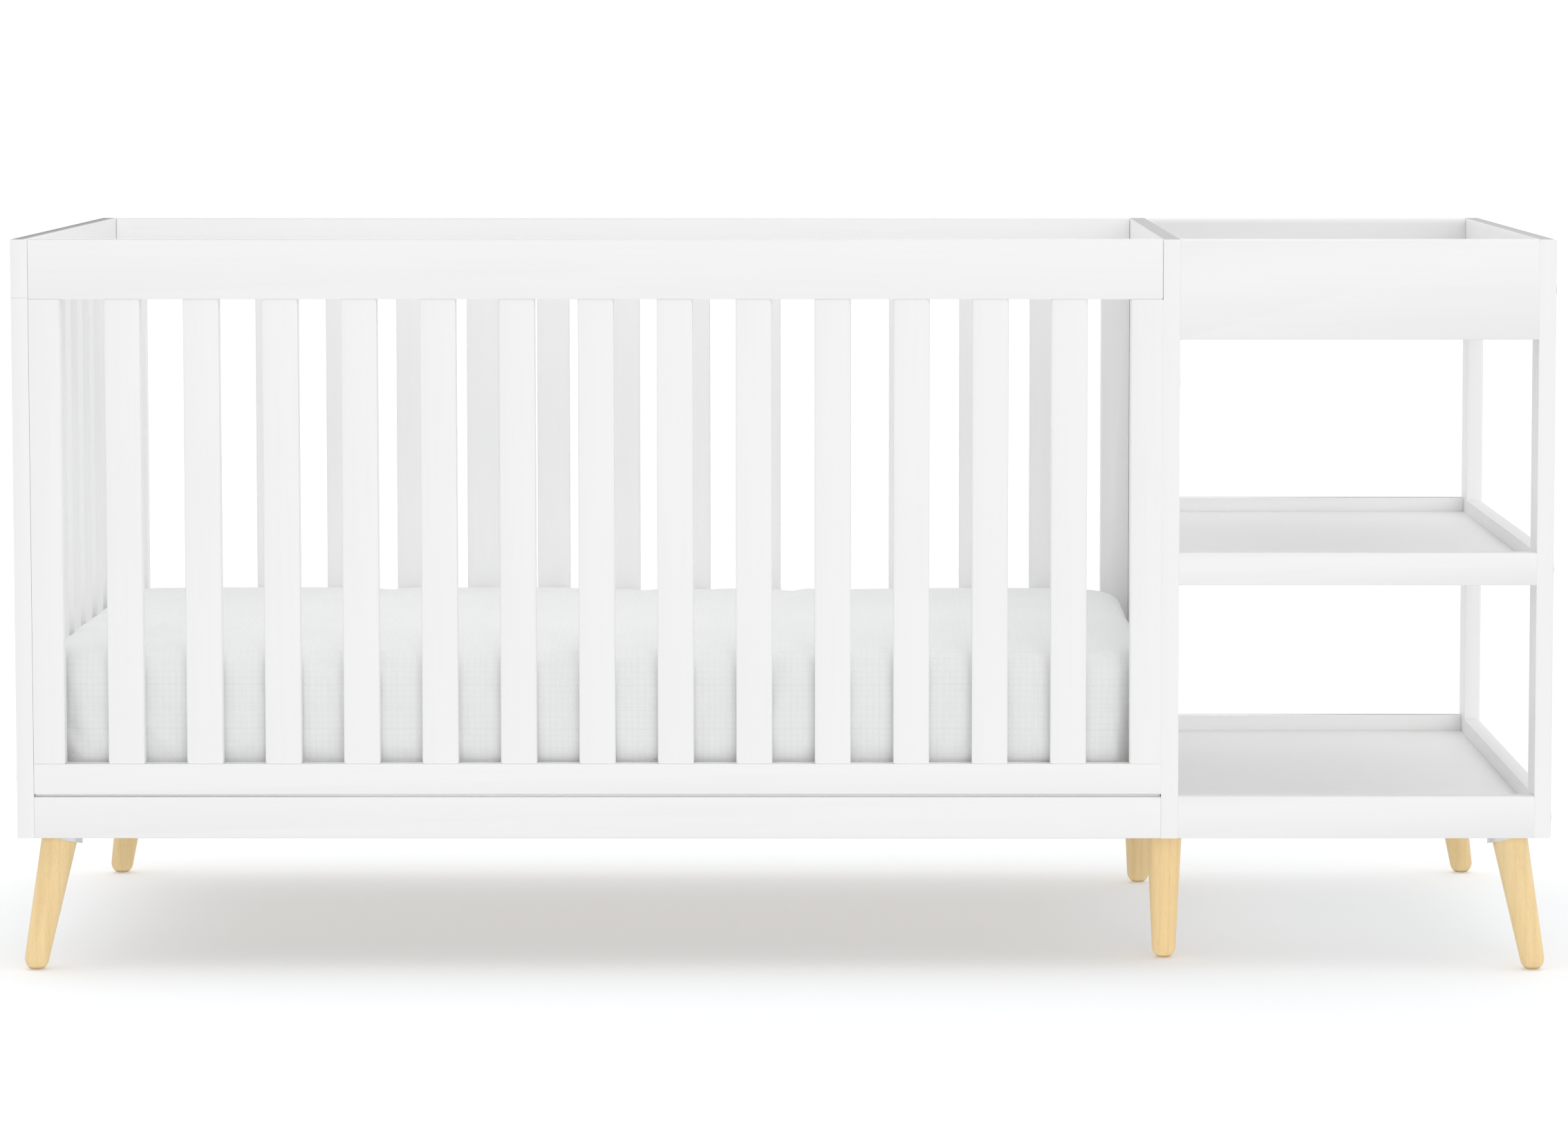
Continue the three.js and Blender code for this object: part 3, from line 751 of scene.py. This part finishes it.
def coords(me):
    a = np.empty(len(me.vertices) * 3, np.float32)
    me.vertices.foreach_get("co", a)
    return a.reshape(-1, 3).astype(np.float64)


def put(me, a):
    me.vertices.foreach_set("co", np.asarray(a, np.float32).ravel())
    me.update()


def normals(me):
    a = np.empty(len(me.vertices) * 3, np.float32)
    me.vertices.foreach_get("normal", a)
    return a.reshape(-1, 3).astype(np.float64)


def edges_of(me):
    e = np.empty(len(me.edges) * 2, np.int32)
    me.edges.foreach_get("vertices", e)
    return e.reshape(-1, 2)


def relaxed(a, e, rounds, share=0.5, keep=None):
    """Laplacian smoothing over the edges."""
    count = np.zeros(len(a))
    np.add.at(count, e[:, 0], 1)
    np.add.at(count, e[:, 1], 1)
    for _ in range(rounds):
        total = np.zeros_like(a)
        np.add.at(total, e[:, 0], a[e[:, 1]])
        np.add.at(total, e[:, 1], a[e[:, 0]])
        new = a + share * (total / count[:, None] - a)
        if keep is not None:
            new[keep] = a[keep]
        a = new
    return a


def swollen(me, voxel):
    """The slab as a filled cloth cover: remeshed, swelled by cloth under pressure with a little spare cloth, then each point's move capped."""
    o = D.objects.new("swell", me)
    SCENE.collection.objects.link(o)
    r = o.modifiers.new("remesh", "REMESH")
    r.mode = "VOXEL"
    r.voxel_size = voxel
    r.use_smooth_shade = True
    start = evaluated(o)
    o.modifiers.clear()
    o.data = start
    rest = relaxed(coords(start), edges_of(start), 4, 0.5)
    put(start, rest)
    hold = o.vertex_groups.new(name="hold")
    under = np.nonzero(rest[:, 2] < MZ0 + 0.004)[0]
    above = np.nonzero(rest[:, 2] >= MZ0 + 0.004)[0]
    hold.add(under.tolist(), 1.0, "REPLACE")
    hold.add(above.tolist(), 0.12, "REPLACE")
    c = o.modifiers.new("cloth", "CLOTH")
    s = c.settings
    s.quality = 6
    s.mass = 0.25
    s.tension_stiffness = 22.0
    s.compression_stiffness = 22.0
    s.shear_stiffness = 8.0
    s.bending_stiffness = 0.35
    s.vertex_group_mass = "hold"
    s.pin_stiffness = 0.6
    s.use_pressure = True
    s.uniform_pressure_force = 1.6
    s.shrink_min = -0.012
    s.shrink_max = -0.012
    s.effector_weights.gravity = 0.0
    c.collision_settings.use_collision = False
    c.point_cache.frame_start, c.point_cache.frame_end = 1, 22
    for f in range(1, 23):
        SCENE.frame_set(f)
    done = coords(evaluated(o))
    SCENE.frame_set(1)
    move = done - rest
    size = np.linalg.norm(move, axis=1, keepdims=True)
    print("swell", round(float(size.max()) * 1000, 1), "mm, mean", round(float(size.mean()) * 1000, 2), "points", len(rest))
    cap = 0.0045
    move *= cap * np.tanh(size / cap) / np.maximum(size, 1e-9)
    D.objects.remove(o)
    return start, rest + move


def squared(a):
    """Pushes the lowest 25 mm of the sides back out to the plan's rounded rectangle: the elastic pulls the cloth tight round the lower edge."""
    corner = 0.062
    hx, hy = (MX1 - MX0) / 2 - 0.0006, MY - 0.0006
    x, y, z = a[:, 0] - MCX, a[:, 1], a[:, 2]
    qx, qy = np.abs(x) - (hx - corner), np.abs(y) - (hy - corner)
    ox, oy = np.maximum(qx, 0), np.maximum(qy, 0)
    length = np.hypot(ox, oy)
    gap = corner - np.where(length > 0, length, np.maximum(qx, qy))  # distance in from the outline
    nx = np.where(length > 0, ox / np.maximum(length, 1e-9), (qx > qy) * 1.0) * np.sign(x)
    ny = np.where(length > 0, oy / np.maximum(length, 1e-9), (qx <= qy) * 1.0) * np.sign(y)
    rise = np.clip((z - MZ0 + 0.0030) / 0.0030, 0, 1)
    fade = np.clip((MZ0 + 0.034 - z) / 0.014, 0, 1)
    near = np.clip((0.0135 - gap) / 0.0020, 0, 1) * (gap > 0)
    push = gap * rise * fade * near * 0.94
    out = a.copy()
    out[:, 0] += nx * push
    out[:, 1] += ny * push
    return out


def make_bedding():
    slab = rounded_slab()
    me, shape = swollen(slab, 0.0080)
    rest = coords(me)
    e = edges_of(me)
    # Which way each point looks on the plain slab, and how far round the corners it lies.
    put(me, rest)
    out = normals(me)
    hx, hy = (MX1 - MX0) / 2, MY
    x, y, z = rest[:, 0] - MCX, rest[:, 1], rest[:, 2]
    side = np.clip(1 - np.abs(out[:, 2]), 0, 1)
    low = np.clip((MZ1 - 0.02 - z) / (MZ1 - MZ0 - 0.02), 0, 1)
    # Gathers fan out of the four lower corners, where the elastic bunches the cloth.
    cx, cy = np.abs(x) - (hx - 0.10), np.abs(y) - (hy - 0.10)
    round_corner = np.arctan2(np.maximum(cy, 1e-6), np.maximum(cx, 1e-6))
    near = np.clip(np.minimum(cx, cy) / 0.09 + 0.30, 0, 1)
    near = near * near * (3 - 2 * near)
    phase = np.sign(x) * 1.7 + np.sign(y) * 0.9
    gather = near * low ** 1.5 * side * (0.0016 * np.sin(26 * round_corner + phase) + 0.0009 * np.sin(43 * round_corner + 2 * phase + 9 * low))
    # Long shallow drags across the sides, and a slow unevenness on the top.
    drag = np.array([noise.noise(Vector((a * 5.0 + 3.1, c * 26.0 + a * 3.0, b * 5.0))) for a, b, c in rest]) * side * 0.0011
    slow = np.array([noise.noise(Vector((a * 3.1, b * 4.3, 7.7))) + 0.5 * noise.noise(Vector((a * 9.0 + b * 4.0, b * 6.0 - a * 3.0, 1.3))) for a, b, c in rest])
    top = np.clip(out[:, 2], 0, 1)
    lift = slow * top * 0.0012
    worn = shape + out * (gather + drag + lift)[:, None]
    worn = squared(worn)
    bottom = out[:, 2] < -0.6
    worn[bottom, 2] = np.maximum(worn[bottom, 2], MZ0)
    worn[:, 2] = np.maximum(worn[:, 2], MZ0)

    # The mattress inside: the same body, smoother, 2.2 mm under the sheet.
    core_me = me.copy()
    core_me.name = "mattress_core_body"
    inner = relaxed(shape, e, 6, 0.5)
    put(core_me, inner)
    inner = inner - normals(core_me) * 0.0030
    inner[:, 2] = np.maximum(inner[:, 2], MZ0 + 0.0040)
    put(core_me, inner)
    core_me.uv_layers.clear() if hasattr(core_me.uv_layers, "clear") else None

    # The sheet: everything but the middle of the underside.
    bm = bmesh.new()
    bm.from_mesh(me)
    bm.verts.ensure_lookup_table()
    gone = []
    tuck = 0.060
    for f in bm.faces:
        c = f.calc_center_median()
        if c.z < MZ0 + 0.003 and f.normal.z < -0.8 and abs(c.x - MCX) < hx - tuck and abs(c.y) < hy - tuck:
            gone.append(f)
    plan = bm.loops.layers.uv.new("cloth_plan")
    for f in bm.faces:
        c = f.calc_center_median()
        nx, ny, nz = f.normal
        ox, oy = abs(c.x - MCX) - (hx - 0.05), abs(c.y) - (hy - 0.05)
        ends = (ox > oy)  # which pair of sides the cloth belongs to, split at the corner seam
        for l in f.loops:
            p = l.vert.co
            qx, qy = p.x - MCX, p.y
            if nz > 0.75:
                uv = (qx, qy)
            elif ends:
                uv = (math.copysign(hx + (MZ1 - p.z), c.x - MCX), qy) if nz > -0.75 else (math.copysign(hx + (MZ1 - MZ0) + (hx - abs(qx)), c.x - MCX), qy)
            else:
                uv = (qx, math.copysign(hy + (MZ1 - p.z), c.y)) if nz > -0.75 else (qx, math.copysign(hy + (MZ1 - MZ0) + (hy - abs(qy)), c.y))
            l[plan].uv = uv
    for v, p in zip(bm.verts, worn):
        v.co = Vector(p)
    bmesh.ops.delete(bm, geom=gone, context="FACES")
    # The elastic hem ripples up and down inside the gap over the slats.
    for v in bm.verts:
        if v.is_boundary:
            t = math.atan2(v.co.y * 1.9, v.co.x - MCX)
            v.co.z = MZ0 + 0.0006 + 0.0009 * (0.5 + 0.5 * math.sin(190 * t))
    loose = [v for v in bm.verts if not v.link_faces]
    bmesh.ops.delete(bm, geom=loose, context="VERTS")
    sheet_me = D.meshes.new("fitted_sheet_cloth")
    bm.to_mesh(sheet_me)
    bm.free()
    for p in sheet_me.polygons:
        p.use_smooth = True

    core = D.objects.new("mattress_core_body", core_me)
    SCENE.collection.objects.link(core)
    core_me.materials.clear()
    core_me.materials.append(TICKING)
    for p in core_me.polygons:
        p.use_smooth = True
    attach(core, MATTRESS)
    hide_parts("mattress_core")

    sheet = D.objects.new("fitted_sheet_cloth", sheet_me)
    SCENE.collection.objects.link(sheet)
    sheet_me.materials.clear()
    sheet_me.materials.append(COTTON)
    solid = sheet.modifiers.new("thickness", "SOLIDIFY")
    solid.thickness = 0.0008
    solid.offset = -1.0
    sub = sheet.modifiers.new("fine", "SUBSURF")
    sub.levels = sub.render_levels = 1
    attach(sheet, MATTRESS)
    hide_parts("fitted_sheet")
    return core, sheet


make_bedding()

# ------------------------------------------------------------------ studio
def studio():
    """White room: a bright low horizon all round, a soft sky above, both dimmer in front, a lower half that lights as a pale floor does, and one broad light from the front, a little to the right and above."""
    w = D.worlds.new("studio")
    SCENE.world = w
    w.use_nodes = True
    nt = w.node_tree
    bg = nt.nodes["Background"]
    tc = nt.nodes.new("ShaderNodeTexCoord")
    sep = nt.nodes.new("ShaderNodeSeparateXYZ")
    link(nt, tc.outputs["Generated"], sep.inputs[0])

    def smooth(value, low, high, to_low, to_high):
        n = nt.nodes.new("ShaderNodeMapRange")
        n.interpolation_type = "SMOOTHSTEP"
        for k, v in (("From Min", low), ("From Max", high), ("To Min", to_low), ("To Max", to_high)):
            n.inputs[k].default_value = v
        if isinstance(value, float):
            n.inputs["Value"].default_value = value
        else:
            link(nt, value, n.inputs["Value"])
        return n.outputs[0]

    front = smooth(math_node(nt, "MULTIPLY", sep.outputs[1], -1.0), 0.25, 0.90, 1.0, FRONT)
    up = smooth(sep.outputs[2], 0.18, 0.44, 0.0, 1.0)
    level = math_node(nt, "ADD", math_node(nt, "MULTIPLY", math_node(nt, "SUBTRACT", 1.0, up), HORIZON), math_node(nt, "MULTIPLY", up, SKY))
    level = math_node(nt, "MULTIPLY", level, front)
    level = math_node(nt, "ADD", level, smooth(sep.outputs[2], 0.55, 0.92, 0.0, OVERHEAD))
    down = smooth(math_node(nt, "MULTIPLY", sep.outputs[2], -1.0), 0.0, 0.85, 1.0, BELOW / LEVEL)
    ground = math_node(nt, "MULTIPLY", down, LEVEL)
    over = math_node(nt, "GREATER_THAN", sep.outputs[2], 0.0)
    level = math_node(nt, "ADD", math_node(nt, "MULTIPLY", over, level), math_node(nt, "MULTIPLY", math_node(nt, "SUBTRACT", 1.0, over), ground))
    # A dark flag low behind the object, seen in reflections only, and a taller one behind the shelves: they draw the glossy top edges as thin dark lines.
    path = nt.nodes.new("ShaderNodeLightPath")
    flag = smooth(sep.outputs[2], 0.065, 0.11, 1.0, 0.0)
    flag = math_node(nt, "MULTIPLY", flag, smooth(sep.outputs[1], 0.90, 0.96, 0.0, 1.0))
    flag = math_node(nt, "MULTIPLY", flag, smooth(sep.outputs[0], -0.14, 0.06, 0.78, 0.54))
    high = math_node(nt, "MULTIPLY", smooth(sep.outputs[2], 0.055, 0.075, 0.0, 1.0), smooth(sep.outputs[2], 0.138, 0.158, 1.0, 0.0))
    wide = math_node(nt, "MULTIPLY", smooth(sep.outputs[0], 0.02, 0.05, 0.0, 1.0), smooth(sep.outputs[0], 0.13, 0.16, 1.0, 0.0))
    high = math_node(nt, "MULTIPLY", math_node(nt, "MULTIPLY", high, wide), math_node(nt, "MULTIPLY", math_node(nt, "GREATER_THAN", sep.outputs[1], 0.9), 0.72))
    flag = math_node(nt, "MAXIMUM", flag, high)
    flag = math_node(nt, "MULTIPLY", flag, over)
    flag = math_node(nt, "MULTIPLY", flag, path.outputs["Is Glossy Ray"])
    level = math_node(nt, "MULTIPLY", level, math_node(nt, "SUBTRACT", 1.0, flag))
    bg.inputs[0].default_value = (1.0, 1.0, 1.0, 1.0)
    link(nt, level, bg.inputs[1])

    bm = bmesh.new()
    bmesh.ops.create_grid(bm, x_segments=2, y_segments=2, size=60.0)
    me = D.meshes.new("floor")
    bm.to_mesh(me)
    bm.free()
    floor = D.objects.new("floor", me)
    SCENE.collection.objects.link(floor)
    m, nt, bsdf = material("studio_floor")
    bsdf.inputs["Base Color"].default_value = (*FLOOR_ALBEDO, 1.0)
    bsdf.inputs["Roughness"].default_value = 1.0
    bsdf.inputs["Specular IOR Level"].default_value = 0.0
    bsdf.inputs["Emission Color"].default_value = (1.0, 1.0, 1.0, 1.0)
    bsdf.inputs["Emission Strength"].default_value = FLOOR_GLOW
    me.materials.append(m)
    floor.visible_diffuse = False  # the world's lower half gives the light that a floor throws back

    sun = D.lights.new("key", "SUN")
    sun.energy = KEY
    sun.angle = math.radians(KEY_ANGLE)
    o = D.objects.new("key", sun)
    SCENE.collection.objects.link(o)
    aim = Vector((-0.18, 1.0, -0.12))
    o.rotation_mode = "QUATERNION"
    o.rotation_quaternion = aim.to_track_quat("-Z", "Y")
    o.location = (1.0, -4.0, 1.2)


HORIZON, SKY, FRONT = 1.08, 0.93, 0.44
LEVEL, BELOW = 1.02, 0.68
OVERHEAD = 0.22
FLOOR_ALBEDO, FLOOR_GLOW = (0.942, 0.952, 0.966), 0.135
KEY, KEY_ANGLE = 0.84, 36.0
studio()
SCENE.view_settings.view_transform = "Standard"
SCENE.view_settings.look = "None"
SCENE.view_settings.exposure = 0.0
SCENE.view_settings.gamma = 1.0
